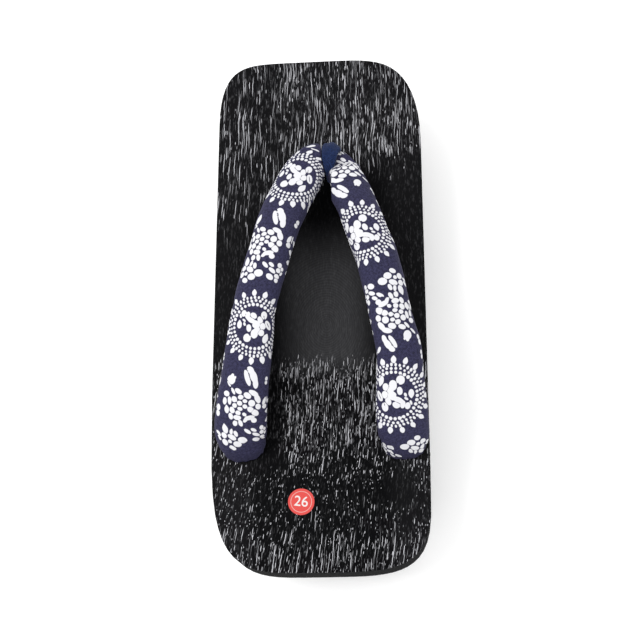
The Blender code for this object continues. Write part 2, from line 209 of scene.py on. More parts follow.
def makeLacquer(name, turned=False):
    material, tree, shader = startMaterial(name)
    place = addNode(tree, "ShaderNodeTexCoord").outputs["Object"]
    xyz = addNode(tree, "ShaderNodeSeparateXYZ", {0: place})
    x, y, z = (xyz.outputs[i] for i in ((1, 0, 2) if turned else (0, 1, 2)))
    slow = calc(tree, "SUBTRACT", noiseOf(tree, place, 26.0, 2.0), 0.5)
    # the grain leans at the heel, most towards its left corner
    leftHeel = calc(tree, "MULTIPLY", softStep(tree, y, -0.050, -0.125), softStep(tree, x, 0.000, -0.050))
    bend = calc(tree, "MULTIPLY", calc(tree, "ADD", y, 0.060), calc(tree, "MULTIPLY", leftHeel, -0.08))
    bend = calc(tree, "MULTIPLY_ADD", calc(tree, "MINIMUM", calc(tree, "ADD", y, 0.060), 0.0), -0.09, bend)
    bend = calc(tree, "MULTIPLY_ADD", y, -0.02, bend)
    bend = calc(tree, "MULTIPLY_ADD", slow, 0.006, bend)
    bend = calc(tree, "MULTIPLY_ADD", z, 0.37, bend)
    grainX = calc(tree, "ADD", x, bend)
    wobble = calc(tree, "MULTIPLY", calc(tree, "SUBTRACT", noiseOf(tree, place, 700.0, 2.0), 0.5), 0.0005)
    # painted glints on the raised grain, where the light catches it: long bright strokes at the toe, lower
    # down on the left;
    # many short ones behind the middle, few on the heel, long again at its rear edge
    toeStart = calc(tree, "MULTIPLY_ADD", softStep(tree, x, 0.010, -0.020), -0.030, 0.066)
    toe = softStep(tree, calc(tree, "SUBTRACT", y, toeStart), -0.012, 0.022)
    toe = calc(tree, "MULTIPLY", toe, softStep(tree, x, -0.012, -0.034, 1.0, 0.74))
    rear = softStep(tree, calc(tree, "MULTIPLY_ADD", slow, 0.016, y), -0.026, -0.037)
    dense = calc(tree, "MULTIPLY", rear, softStep(tree, y, -0.088, -0.066))
    edge = softStep(tree, y, -0.108, -0.122)
    # painted shadow of the left arm: no glints next to it, and none in one plain patch at the right of the
    # heel
    armShadow = highest(
        tree, softStep(tree, x, -0.0230, -0.0150), softStep(tree, x, -0.0375, -0.0400),
        softStep(tree, y, -0.078, -0.084), softStep(tree, y, -0.020, 0.010),
    )
    patchX, patchY = calc(tree, "SUBTRACT", x, 0.037), calc(tree, "ADD", y, 0.094)
    away = calc(tree, "SQRT", calc(tree, "ADD", product(tree, patchX, patchX), product(tree, patchY, patchY)))
    patch = softStep(tree, noiseOf(tree, place, 75.0, 2.0), 0.30, 0.70, 0.78, 1.20)
    patch = product(tree, patch, armShadow, softStep(tree, away, 0.004, 0.011))
    longShare = highest(tree, product(tree, toe, 0.60), product(tree, edge, 0.50), product(tree, dense, 0.24))
    midShare = highest(tree, product(tree, toe, 0.56), product(tree, edge, 0.50), product(tree, dense, 0.48))
    shortShare = calc(tree, "MULTIPLY_ADD", dense, 0.48, product(tree, rear, 0.12))
    shortShare = highest(tree, product(tree, toe, 0.36), product(tree, edge, 0.38), shortShare)
    fleckShare = calc(tree, "MULTIPLY_ADD", dense, 0.26, product(tree, rear, 0.22))
    fleckShare = highest(tree, product(tree, toe, 0.20), fleckShare)
    dotShare = highest(tree, product(tree, toe, 0.06), product(tree, rear, 0.20))
    layers = (
        (0.0, 0.00150, 0.0200, longShare), (0.0137, 0.00120, 0.0110, midShare),
        (0.0411, 0.00115, 0.0058, shortShare), (0.0733, 0.00105, 0.0028, fleckShare),
        (0.0951, 0.00080, 0.0013, dotShare),
    )
    lit = 0.0
    for shift, width, length, share in layers:
        shifted = calc(tree, "ADD", grainX, shift)
        strokes = strokeLayer(tree, shifted, y, width, length, wobble, calc(tree, "MULTIPLY", share, patch))
        lit = calc(tree, "MAXIMUM", lit, strokes)
    # fine pores and brushed lines all over
    finePlace = {"X": grainX, "Y": calc(tree, "MULTIPLY", y, 0.22), "Z": calc(tree, "MULTIPLY", z, 0.8)}
    fine = noiseOf(tree, addNode(tree, "ShaderNodeCombineXYZ", finePlace).outputs[0], 1500.0, 3.0, 0.6)
    hair = softStep(tree, fine, 0.50, 0.76)
    # the fine grain is painted brighter at the toe, behind the middle and along the sides, as a highlight
    # where the light catches it
    outside = softStep(tree, calc(tree, "ABSOLUTE", x), 0.028, 0.040)
    strength = calc(tree, "MULTIPLY_ADD", dense, 0.70, product(tree, rear, 0.25))
    strength = highest(tree, toe, strength, product(tree, outside, 0.5))
    strength = calc(tree, "MULTIPLY_ADD", strength, 0.085, 0.012)
    # a painted sheen, soft grey with faint rings, lies in the hollow between the arms, a weaker one on the
    # toe and along the sides
    ringX, ringY = calc(tree, "SUBTRACT", x, 0.004), product(tree, calc(tree, "SUBTRACT", y, -0.012), 0.8)
    ringAway = calc(tree, "SQRT", calc(tree, "ADD", product(tree, ringX, ringX), product(tree, ringY, ringY)))
    ringTurn = product(tree, slow, 60.0)
    ringTurn = calc(tree, "MULTIPLY_ADD", ringAway, 2 * math.pi / lacquer["ripple"], ringTurn)
    ripple = calc(tree, "MULTIPLY_ADD", fine, 0.8, 0.55)
    ripple = calc(tree, "MULTIPLY_ADD", calc(tree, "SINE", ringTurn), 0.11, ripple)
    middle = softStep(tree, calc(tree, "ABSOLUTE", ringX), 0.029, 0.008)
    between = product(tree, middle, softStep(tree, y, 0.048, 0.010), softStep(tree, y, -0.040, -0.026))
    between = product(tree, between, ripple)
    paintedSheen = calc(tree, "MULTIPLY_ADD", between, 0.062, product(tree, highest(tree, toe, outside), 0.006))
    # the painted glints and sheen lie only on faces that look up, and the grain is dimmer on the others
    normal = addNode(tree, "ShaderNodeTexCoord").outputs["Normal"]
    facing = addNode(tree, "ShaderNodeSeparateXYZ", {0: normal})
    sideways, upward = facing.outputs[0], facing.outputs[2]
    lit = calc(tree, "MULTIPLY", lit, softStep(tree, upward, 0.35, 0.9))
    strength = calc(tree, "MULTIPLY", strength, softStep(tree, upward, 0.2, 0.8, 0.25, 1.0))
    paintedSheen = calc(tree, "MULTIPLY", paintedSheen, softStep(tree, upward, 0.35, 0.9))
    # painted highlights on the rounded edge, where it catches the light: broad on the left and a thin line on
    # the right
    highlightSpan = calc(tree, "MULTIPLY", softStep(tree, y, -0.020, -0.050), softStep(tree, y, -0.100, -0.086))
    leftRim = product(
        tree, softStep(tree, sideways, -0.03, -0.20), softStep(tree, upward, 0.12, 0.45),
        softStep(tree, upward, 0.998, 0.96),
    )
    rightRim = product(
        tree, softStep(tree, sideways, 0.02, 0.15), softStep(tree, upward, 0.74, 0.88),
        softStep(tree, upward, 0.9995, 0.99),
    )
    edgeHighlight = calc(tree, "MULTIPLY", leftRim, calc(tree, "MULTIPLY_ADD", highlightSpan, 0.48, 0.16))
    edgeHighlight = highest(tree, edgeHighlight, calc(tree, "MULTIPLY", rightRim, calc(tree, "MULTIPLY_ADD", highlightSpan, 0.45, 0.50)))
    # a thin painted reflection runs along the deck's lower edge, clearest at the heel
    lowEdgeReflection = product(tree, softStep(tree, z, 0.0326, 0.0312), softStep(tree, upward, 0.5, 0.3))
    lowEdgeReflection = product(tree, lowEdgeReflection, 0 if turned else 1, softStep(tree, y, -0.100, -0.118, 0.04, 0.20))
    edgeHighlight = highest(tree, edgeHighlight, lowEdgeReflection)
    lit = calc(tree, "MAXIMUM", lit, calc(tree, "MULTIPLY", edgeHighlight, softStep(tree, fine, 0.2, 0.7, 0.45, 1.0)))
    # pale mix: the real grain plus painted glints, painted sheen and painted edge highlights
    grainAndGlint = calc(tree, "MULTIPLY_ADD", hair, strength, calc(tree, "ADD", paintedSheen, lit))
    tree.links.new(mixColour(tree, grainAndGlint, lacquer["black"], lacquer["grainAndGlint"]), shader.inputs["Base Color"])
    rough = calc(tree, "MULTIPLY_ADD", fine, 0.20, lacquer["roughness"])
    rough = calc(tree, "ADD", rough, softStep(tree, upward, 0.8, 0.2, 0.0, 0.35))
    tree.links.new(rough, shader.inputs["Roughness"])
    height = calc(tree, "MULTIPLY_ADD", fine, 0.5, calc(tree, "MULTIPLY", lit, 0.8))
    addBump(tree, shader, height, 0.5, 0.00022)
    shader.inputs["Specular IOR Level"].default_value = lacquer["shine"]
    return material


deckWood = makeLacquer("black lacquered deck")
toothWood = makeLacquer("black lacquered teeth", turned=True)
paint(nodes["deck"], deckWood)
for name in ("front_tooth", "rear_tooth"):
    paint(nodes[name], toothWood)
print("geta: wood finished")


# ---- the padded V strap: two arms of printed cotton that meet inside the toe loop

strap = {
    "width": 0.0210, "thickness": 0.0140, "rise": 0.0320, "bank": math.radians(9),
    "deckTop": 0.0520, "front": (0.0075, 0.0685),
    "leftHole": (-0.0375, -0.0700), "rightHole": (0.0405, -0.0720),
    "along": 600, "around": 124, "plug": 0.0037, "plugDepth": 0.0060, "gap": 0.0003,
    "bendLength": 0.0140, "shoulderRows": 14,
}
neckRise, neckWidth, neckThick = 0.46, 0.56, 0.65

# along, across, rise, width, thick, bank: shares of the strap's own sizes, from the loop to the rear hole
leftArm = (
    (-0.014, -0.06, neckRise, neckWidth, neckThick, 0.0),
    (-0.008, 0.10, 0.500, 0.82, 0.87, 0.1),
    (0.022, 0.235, 0.575, 0.92, 0.97, 0.4),
    (0.098, 0.35, 0.680, 1.04, 1.00, 0.8),
    (0.242, 0.528, 0.850, 1.03, 1.00, 1.0),
    (0.360, 0.622, 0.955, 0.99, 1.00, 1.0),
    (0.490, 0.73, 1.000, 0.99, 1.00, 1.0),
    (0.600, 0.808, 0.980, 0.99, 1.00, 0.9),
    (0.720, 0.86, 0.880, 1.07, 0.99, 0.6),
    (0.840, 0.926, 0.700, 1.11, 0.96, 0.3),
    (0.920, 0.97, 0.510, 1.18, 0.93, 0.1),
    (0.978, 0.992, 0.310, 1.18, 0.92, 0.0),
    (1.010, 0.985, 0.110, 1.04, 0.93, 0.0),
    (1.022, 0.980, -0.080, 0.90, 0.93, 0.0),
)
rightArm = (
    (-0.012, -0.08, neckRise, neckWidth, neckThick, 0.0),
    (0.016, 0.060, 0.510, 0.80, 0.86, 0.1),
    (0.066, 0.155, 0.580, 0.95, 0.97, 0.4),
    (0.120, 0.270, 0.680, 0.96, 1.00, 0.8),
    (0.200, 0.408, 0.800, 0.94, 1.00, 1.0),
    (0.300, 0.54, 0.905, 0.945, 1.00, 1.0),
    (0.400, 0.68, 0.975, 0.97, 1.00, 1.0),
    (0.510, 0.783, 1.000, 0.95, 1.00, 1.0),
    (0.620, 0.872, 0.965, 0.96, 1.00, 0.8),
    (0.730, 0.968, 0.865, 1.01, 0.99, 0.6),
    (0.840, 0.972, 0.700, 1.09, 0.96, 0.3),
    (0.920, 0.98, 0.510, 1.16, 0.93, 0.1),
    (0.974, 0.995, 0.310, 1.16, 0.92, 0.0),
    (1.003, 0.995, 0.110, 1.02, 0.94, 0.0),
    (1.012, 0.995, -0.080, 0.90, 0.94, 0.0),
)

# The print's motifs, charted in steps of 0.36 mm: across, along, half across, half along, turn, kind
chartStep = 0.36
cluster = (
    (-19.7, -9.4, 4.2, 3.8, 0, "round"), (-21.5, 1.1, 3.0, 5.0, 0, "round"),
    (-14.5, -0.9, 2.6, 5.5, -8, "round"), (-8.2, -3.9, 3.7, 4.1, -20, "round"),
    (0.1, -7.9, 3.8, 3.1, -25, "round"), (6.3, -3.6, 3.0, 2.6, 0, "round"), (-0.5, 0.3, 3.4, 3.4, 0, "round"),
    (-7.0, 4.4, 3.2, 3.1, 20, "round"), (6.8, 3.6, 3.1, 2.9, 0, "round"), (0.5, 7.8, 3.4, 2.7, 0, "round"),
    (-17.5, 11.1, 3.3, 5.6, -8, "point"), (-9.9, 11.1, 3.4, 4.4, -20, "round"),
    (-1.7, 13.6, 3.4, 3.4, 0, "round"), (6.8, 14.6, 2.9, 2.4, 30, "round"),
    (-11.2, 19.6, 3.0, 4.4, -15, "round"), (-2.4, 20.1, 5.0, 3.6, 0, "round"),
    (2.1, 27.6, 2.7, 4.8, -20, "round"), (-5.2, 28.6, 3.1, 3.9, 0, "round"),
    (8.8, -11.4, 5.2, 3.9, 25, "round"), (15.3, -1.9, 4.4, 4.5, 0, "round"),
    (24.1, 2.1, 3.6, 4.1, -20, "round"), (-3.7, -15.4, 5.0, 3.2, 28, "round"),
    (-10.7, -14.4, 1.9, 4.8, -32, "round"), (-17.7, -23.4, 1.6, 4.8, -38, "round"),
    (16.5, -15.5, 6.8, 3.4, 22, "joined"), (22.4, -8.5, 3.6, 6.4, -28, "joined"),
    (14.5, 7.0, 4.5, 3.8, 30, "round"), (20.5, 11.0, 5.4, 4.2, 40, "round"),
    (13.5, 18.8, 7.2, 3.2, -20, "joined"), (19.5, 22.3, 3.8, 3.6, 0, "joined"),
    (8.3, 22.6, 2.4, 4.0, 35, "joined"), (14.0, 26.0, 3.0, 2.6, 0, "cut"),
)
flower = (
    (-6.0, -14.5, 4.0, 7.0, -12, "point"), (2.5, -11.5, 2.2, 5.0, 10, "point"),
    (8.5, -9.0, 2.6, 4.5, -15, "round"), (-17.0, -5.0, 4.6, 2.6, 40, "round"),
    (-16.5, 0.8, 3.8, 2.2, 30, "round"), (-8.0, -4.5, 3.9, 4.1, 0, "round"),
    (2.8, -3.2, 6.0, 3.8, 28, "round"), (16.5, 0.5, 6.1, 5.1, 0, "round"), (-8.2, 5.0, 4.0, 4.3, 0, "round"),
    (-1.2, 3.5, 2.7, 2.7, 0, "round"), (8.2, 7.0, 5.4, 4.6, 0, "round"), (0.0, 13.0, 4.6, 3.4, 25, "round"),
)
sprig = (
    (-14.0, -6.0, 5.4, 2.5, 38, "round"), (-6.0, -8.2, 4.2, 2.4, 30, "round"),
    (-3.0, -0.5, 5.3, 2.7, 28, "round"), (5.2, -10.8, 3.2, 3.5, 0, "round"),
    (10.2, -7.2, 2.4, 2.7, 0, "round"), (5.2, -3.2, 3.3, 3.3, 0, "round"),
    (10.5, -0.5, 1.7, 3.2, 25, "round"), (5.2, 5.5, 3.8, 3.2, 15, "round"),
    (5.8, 11.0, 2.8, 3.4, -10, "round"), (-3.8, 9.0, 5.2, 3.8, 28, "round"),
)
leafPair = (
    (-4.2, 1.0, 3.2, 10.2, -22, "joined"), (-1.5, -9.0, 4.0, 5.0, -45, "joined"),
    (3.4, -1.5, 4.2, 8.6, -24, "joined"), (6.6, 6.8, 3.3, 6.4, -8, "joined"),
    (-1.6, -0.5, 0.45, 13.0, -24, "cut"),
)
bud = (
    (0.0, 0.5, 5.7, 6.2, 25, "joined"), (1.2, -4.6, 2.4, 3.4, 8, "joined"),
    (4.6, -2.6, 1.6, 3.0, 30, "joined"),
)
sideBud = ((0.0, -2.5, 2.5, 3.0, 0, "round"), (0.0, 2.6, 2.5, 2.8, 0, "round"))
twig = (
    (-1.0, -3.0, 2.6, 6.2, 18, "point"), (4.0, -4.5, 1.0, 5.0, 0, "round"), (0.0, 4.6, 3.8, 3.4, 0, "round"),
)
edgeMark = ((0.0, 0.0, 2.3, 4.8, 12, "round"), (-3.4, 5.6, 1.0, 3.4, 20, "round"))
sideMark = ((0.0, 0.0, 5.2, 1.6, -10, "round"),)
blossom = (
    (-16.3, -15.2, 3.2, 4.3, 15, "round"), (-10.6, -13.3, 3.0, 4.9, 12, "joined"),
    (-5.6, -7.6, 6.6, 3.4, 27, "joined"), (0.6, -4.8, 4.2, 3.0, 10, "joined"),
    (-2.7, -13.6, 4.6, 3.7, 36, "round"), (10.9, -16.0, 4.1, 5.6, -5, "round"),
    (11.2, -13.0, 0.5, 2.8, -14, "cut"), (6.4, -9.0, 3.4, 4.8, -22, "joined"),
    (2.0, -1.6, 5.4, 4.2, -10, "joined"), (10.4, -1.0, 4.0, 4.5, 0, "round"),
    (9.0, 7.8, 3.9, 4.3, 0, "round"), (0.2, 10.0, 4.6, 6.0, 0, "joined"), (3.6, 4.4, 4.0, 4.0, 0, "joined"),
    (-8.8, 16.0, 5.0, 5.4, 0, "round"), (-6.2, 11.4, 0.8, 2.0, -30, "cut"),
    (-7.6, 3.2, 3.2, 4.9, -5, "round"), (-21.0, -1.0, 3.4, 5.6, 0, "point"),
    (17.9, -3.2, 3.7, 6.8, -30, "round"), (17.6, -3.4, 0.45, 4.2, -30, "cut"),
    (15.4, 14.4, 3.8, 6.6, 18, "point"), (-20.2, -11.7, 1.5, 2.9, -15, "round"),
    (-14.9, -6.4, 2.7, 1.4, 35, "round"), (-14.0, -1.6, 1.6, 2.5, -20, "round"),
)
# rings of the medallion: how many, how far out, half across, half out, share of a step, kind
rings = (
    (33, 28.9, 1.95, 2.15, 0.0, "round"),
    (38, 33.8, 1.60, 1.70, 0.5, "round"),
    (47, 38.2, 1.50, 2.25, 0.0, "round"),
    (19, 44.6, 3.25, 4.90, 0.5, "point"),
)


def ringShapes():
    shapes = []
    for row, (count, out, across, reach, offset, kind) in enumerate(rings):
        for i in range(count):
            turn = 2 * math.pi * (i + offset) / count
            uneven = 1 + 0.10 * math.sin(7.3 * i + 2.1 * row)
            away = out + 0.5 * math.sin(4.1 * i + row) * (row > 0)
            shapes.append((
                away * math.sin(turn), -away * math.cos(turn), across * uneven, reach * uneven,
                math.degrees(turn), kind,
            ))
    return tuple(shapes)


wreath = ringShapes()
medallion = blossom + wreath
petal = ((0.0, 0.0, 4.2, 7.6, 15, "point"), (-3.0, 10.5, 1.0, 3.6, 5, "round"))

# motif, mm along the arm from the loop, mm across from its crest, turn, size
leftPrint = (
    (edgeMark, 4.2, -6.4, 0, 1.25), (sideMark, 5.4, -3.0, 0, 1.0), (medallion, 26.0, 0.2, 0, 1.07),
    (leafPair, 51.9, 2.2, 0, 1.14), (petal, 53.2, -8.4, 0, 1.0), (sideBud, 51.5, 12.0, 10, 1.3),
    (cluster, 64.9, -2.7, 0, 1.0), (twig, 62.8, 10.7, 0, 1.05), (flower, 82.4, -5.5, 0, 1.0),
    (sprig, 80.0, 7.5, 0, 1.0), (medallion, 108.4, 3.7, 0, 1.0), (leafPair, 132.2, 4.4, 0, 1.05),
    (bud, 134.5, -4.9, 0, 1.0), (sideBud, 133.0, 12.4, 0, 1.0), (sideBud, 124.5, -12.2, 0, 1.0),
    (sideBud, 129.5, -12.6, 0, 0.8), (edgeMark, 136.8, -12.9, 0, 1.2), (cluster, 145.0, 0.5, 0, 1.0),
    (twig, 144.1, 12.6, 0, 1.0), (sideBud, 150.8, -10.9, 0, 1.5), (flower, 164.0, -4.2, 0, 1.0),
    (sprig, 161.2, 9.6, 0, 1.0), (medallion, 68.0, -29.0, 0, 1.0), (medallion, 68.0, 30.0, 0, 1.0),
    (medallion, 150.0, 31.0, 0, 1.0), (medallion, 146.0, -30.0, 0, 1.0), (cluster, 108.0, -22.5, 0, 1.0),
    (cluster, 104.0, 26.0, 0, 1.0), (cluster, 24.0, -24.0, 0, 1.0), (cluster, 24.0, 25.0, 0, 1.0),
    (leafPair, 92.0, -22.0, 0, 1.0), (leafPair, 92.0, 22.0, 0, 1.0), (flower, 125.0, -22.0, 0, 1.0),
    (sprig, 122.0, 21.0, 0, 0.9), (flower, 42.0, -21.0, 0, 0.9), (sprig, 40.0, 20.0, 0, 0.9),
    (leafPair, 8.0, -18.0, 0, 1.0),
)
rightPrint = (
    (cluster, 12.8, 2.2, 180, 1.10), (flower, -6.5, 9.0, 180, 1.0), (leafPair, 25.7, -6.3, 180, 1.12),
    (bud, 24.5, 3.5, 180, 0.9), (sideBud, 29.5, 10.4, 160, 1.1), (sideBud, 36.5, 11.0, 165, 1.0),
    (edgeMark, 43.0, 11.6, 180, 0.9), (wreath, 52.9, -4.4, 180, 1.04), (blossom, 52.3, -4.9, 180, 1.10),
    (flower, 81.0, 4.2, 180, 1.0), (sprig, 85.0, -9.2, 180, 1.0), (cluster, 98.3, 1.4, 180, 1.0),
    (twig, 93.5, 10.6, 180, 0.9), (leafPair, 109.9, -4.5, 180, 0.95), (bud, 108.2, 4.4, 180, 0.95),
    (sideBud, 110.8, 10.7, 170, 1.2), (sideBud, 117.0, 11.3, 168, 1.0), (edgeMark, 123.5, 12.0, 180, 0.8),
    (edgeMark, 112.5, -11.0, 25, 1.2), (wreath, 135.4, -3.5, 180, 1.06), (blossom, 134.4, -3.7, 180, 1.10),
    (flower, 162.4, 6.2, 180, 1.0), (sprig, 167.0, -8.0, 180, 1.0), (medallion, 96.0, -30.0, 180, 1.0),
    (medallion, 96.0, 30.0, 180, 1.0), (medallion, 14.0, 30.0, 180, 1.0), (medallion, 14.0, -31.0, 180, 1.0),
    (cluster, 54.0, -25.0, 180, 1.0), (cluster, 52.0, 24.0, 180, 1.0), (cluster, 137.0, 24.5, 180, 1.0),
    (cluster, 137.0, -25.0, 180, 1.0), (flower, 38.0, 21.0, 180, 0.9), (leafPair, 70.0, 20.0, 180, 1.0),
    (leafPair, 70.0, -21.0, 180, 1.0), (flower, 120.0, 22.0, 180, 0.9), (sprig, 118.0, -20.0, 180, 0.9),
    (flower, 154.0, -22.0, 180, 0.9),
)

# creases: along, across, half length, half width (all mm), turn, depth in mm
leftCreases = (
    (7.0, -4.0, 9.0, 1.3, 14, 0.45), (8.0, 2.5, 8.0, 1.2, -10, 0.40), (12.0, 8.0, 9.0, 1.5, -24, 0.45),
    (11.0, -10.5, 10.0, 1.5, 26, 0.40), (46.0, 9.0, 7.0, 1.6, 40, 0.25), (95.0, 12.0, 8.0, 1.8, 62, 0.28),
    (98.0, -12.0, 8.0, 1.8, -55, 0.22), (152.0, 9.0, 7.0, 1.5, 70, 0.25), (168.0, -5.0, 6.0, 1.2, 8, 0.45),
    (169.0, 4.0, 6.0, 1.2, -12, 0.45), (167.0, 11.0, 6.0, 1.3, -30, 0.45), (166.0, -12.0, 6.0, 1.3, 25, 0.40),
)
rightCreases = (
    (6.5, -5.0, 8.0, 1.3, 16, 0.45), (7.5, 3.0, 8.0, 1.2, -12, 0.40), (10.0, 9.5, 9.0, 1.5, -28, 0.40),
    (10.0, -10.5, 8.0, 1.4, 26, 0.45), (44.0, -9.0, 7.0, 1.6, -42, 0.25), (92.0, -12.0, 8.0, 1.8, -60, 0.28),
    (97.0, 12.0, 8.0, 1.8, 58, 0.22), (148.0, -9.0, 7.0, 1.5, -68, 0.25), (164.0, -6.0, 6.0, 1.2, 10, 0.45),
    (165.0, 3.0, 6.0, 1.2, -8, 0.45), (163.0, 10.0, 6.0, 1.3, -26, 0.45), (162.0, -13.0, 6.0, 1.3, 28, 0.40),
)


def smoothTable(rows, places):
    # a smooth curve through every column, at places counted in rows
    table = np.array(rows)
    table = np.vstack([2 * table[0] - table[1], table, 2 * table[-1] - table[-2]])
    i = np.minimum(places.astype(int), len(rows) - 2)
    t = (places - i)[:, None]
    a, b, c, d = table[i], table[i + 1], table[i + 2], table[i + 3]
    return b + 0.5 * ((c - a) * t + (2 * a - 5 * b + 4 * c - d) * t**2 + (3 * b - a - 3 * c + d) * t**3)


def armMiddle(rows, hole, places):
    values = smoothTable(rows, places)
    frontX, frontY = strap["front"]
    x = frontX + values[:, 1] * (hole[0] - frontX)
    y = frontY + values[:, 0] * (hole[1] - frontY)
    return np.stack([x, y, strap["deckTop"] + values[:, 2] * strap["rise"]], 1)


def unit(vectors):
    return vectors / np.linalg.norm(vectors, axis=-1, keepdims=True)


def armSurface(rows, hole, lean):
    # rings of points from the loop's middle to the rear hole, close together on the crest
    start = float(np.interp(0.0, [row[1] for row in rows[:2]], [0, 1]))
    fine = np.linspace(start, len(rows) - 1, 2000)
    steps = np.linalg.norm(np.diff(armMiddle(rows, hole, fine), axis=0), axis=1)
    length = np.concatenate([[0], np.cumsum(steps)])
    places = np.interp(np.linspace(0, length[-1], strap["along"]), length, fine)
    values = smoothTable(rows, places)
    middle = armMiddle(rows, hole, places)
    ahead = armMiddle(rows, hole, np.minimum(places + 0.05, len(rows) - 1))
    run = unit(ahead - armMiddle(rows, hole, np.maximum(places - 0.05, 0)))
    side = unit(np.stack([-run[:, 1], run[:, 0], 0 * run[:, 0]], 1))
    normal = np.cross(run, side)
    bank = (-lean * values[:, 5] * strap["bank"])[:, None]
    side, normal = side * np.cos(bank) + normal * np.sin(bank), normal * np.cos(bank) - side * np.sin(bank)
    turn = np.linspace(-math.pi, math.pi, strap["around"] + 1)
    turn = turn - 0.38 * np.sin(turn)
    x = np.sign(np.sin(turn)) * np.abs(np.sin(turn)) ** 0.8
    z = np.cos(turn)
    z = np.where(z < 0, -np.abs(z) ** 0.65 * 0.86, z)
    half = np.stack([values[:, 3] * strap["width"] / 2, values[:, 4] * strap["thickness"] / 2], 1)
    points = middle[:, None] + side[:, None] * (x[None] * half[:, :1])[..., None]
    return points + normal[:, None] * (z[None] * half[:, 1:])[..., None], middle


def clothPlaces(points):
    # mm along the crest from the loop, and mm round from the crest
    crest = strap["around"] // 2
    along = np.concatenate([[0], np.cumsum(np.linalg.norm(np.diff(points[:, crest], axis=0), axis=1))])
    round_ = np.concatenate(
        [np.zeros((len(points), 1)), np.cumsum(np.linalg.norm(np.diff(points, axis=1), axis=2), axis=1)], 1
    )
    return along * 1000, (round_ - round_[:, crest:crest + 1]) * 1000


def laidPlaces(points, along):
    # mm along each line of the cloth: in the tight bend at the loop each keeps its own length
    steps = np.linalg.norm(np.diff(points, axis=0), axis=2) * 1000
    laid = along[:, None] + np.zeros(points.shape[:2])
    bend = np.searchsorted(along, strap["bendLength"] * 1000)
    laid[:bend] -= np.cumsum((steps[:bend] - np.diff(along)[:bend, None])[::-1], axis=0)[::-1]
    return laid


def shapeDepth(across, along, cx, cy, a, b, tilt, kind):
    # how far each point lies inside one charted shape, in mm
    dx, dy = across - cx, along - cy
    u = dx * math.cos(tilt) + dy * math.sin(tilt)
    v = dy * math.cos(tilt) - dx * math.sin(tilt)
    if kind == "point":
        u = u / (1 - 0.62 * np.clip(-v / b, 0, 1) ** 1.6)
    k = np.hypot(u / a, v / b)
    return -k * (k - 1) / np.maximum(np.hypot(u / a**2, v / b**2), 1e-6)


def printDepth(along, across, placements):
    # how far each point lies inside the white print, in mm; a thin navy line parts neighbouring shapes
    best = np.full(across.shape, -2.0)
    second = np.full(across.shape, -2.0)
    low, high = along.min(axis=1), along.max(axis=1)
    for wanted in ("joined", "apart", "cut"):
        for motif, atAlong, atAcross, turn, size in placements:
            swing = math.radians(turn)
            for x, y, a, b, tilt, kind in motif:
                if (kind if kind in ("joined", "cut") else "apart") != wanted:
                    continue
                step = chartStep * size
                cx = atAcross + step * (x * math.cos(swing) - y * math.sin(swing))
                cy = atAlong + step * (x * math.sin(swing) + y * math.cos(swing))
                reach = max(a, b) * step + 1.0
                i, j = np.searchsorted(high, cy - reach), np.searchsorted(low, cy + reach)
                if i >= j:
                    continue
                rows = slice(i, j)
                tilted = math.radians(tilt) + swing
                inside = shapeDepth(across[rows], along[rows], cx, cy, a * step, b * step, tilted, kind)
                if wanted == "joined":
                    best[rows] = np.maximum(best[rows], inside)
                elif wanted == "apart":
                    second[rows] = np.maximum(second[rows], np.minimum(best[rows], inside))
                    best[rows] = np.maximum(best[rows], inside)
                else:
                    best[rows] = np.minimum(best[rows], -inside)
    depth = np.minimum(best, (best - second) / 2 - cotton["line"])
    return np.clip(depth, -1, 1)


def creaseDepth(along, across, creases):
    # soft troughs with a low ridge on each side, gathers at both ends and uneven stuffing, in mm
    s, t = along[:, None], across
    rise = 0.10 * np.sin(s / 4.9 + 1.3) * np.cos(t / 6.1 + 0.4) + 0.07 * np.sin(s / 2.7 + t / 5.3 + 2.0)
    for atAlong, atAcross, length, width, turn, depth in creases:
        swing = math.radians(turn)
        dx, dy = t - atAcross, s - atAlong
        over = (dx * math.cos(swing) + dy * math.sin(swing)) / width
        down = (dy * math.cos(swing) - dx * math.sin(swing)) / length
        rise = rise - depth * (1 - 0.8 * over**2) * np.exp(-(over**2) / 1.2 - down**2)
    front = np.exp(-s / 6.0)
    rear = np.exp(-(along[-1] - s) / 5.0)
    rise = rise + front * 0.35 * np.cos(t * 1.75 + 0.6 * np.sin(t))
    rise = rise + rear * 0.22 * np.cos(t * 1.35 + 0.8 * np.sin(t * 0.7))
    seam = np.abs(t) - np.maximum(t[:, -1:], 20)
    return rise - 0.5 * np.exp(-((seam / 1.3) ** 2))


toeLoop = {
    "band": 0.0042, "width": 0.0098, "stemWidth": 0.0066, "below": 0.0060, "lean": 0.0008, "clear": 0.35,
    "wider": 1.10, "voxel": 0.00035, "softSteps": 8,
}
neckHeight = neckRise * strap["rise"]
windowReach = neckWidth * strap["width"] / 2
windowRise = neckThick * strap["thickness"] / 2


def loopHalfWidth(height):
    whole = neckHeight + windowRise + toeLoop["band"] + toeLoop["below"]
    share = np.clip((height + toeLoop["below"]) / whole, 0, 1)
    return (toeLoop["stemWidth"] + (toeLoop["width"] - toeLoop["stemWidth"]) * share) / 2


def loopTaper(x, y):
    # the loop draws in towards the heel, most on its right; x and y run from its middle
    back = np.clip((0.0060 - y) / 0.0145, 0, 1)
    return 1 - np.where(x > 0, 0.92 * back, 0.34 * back**3)


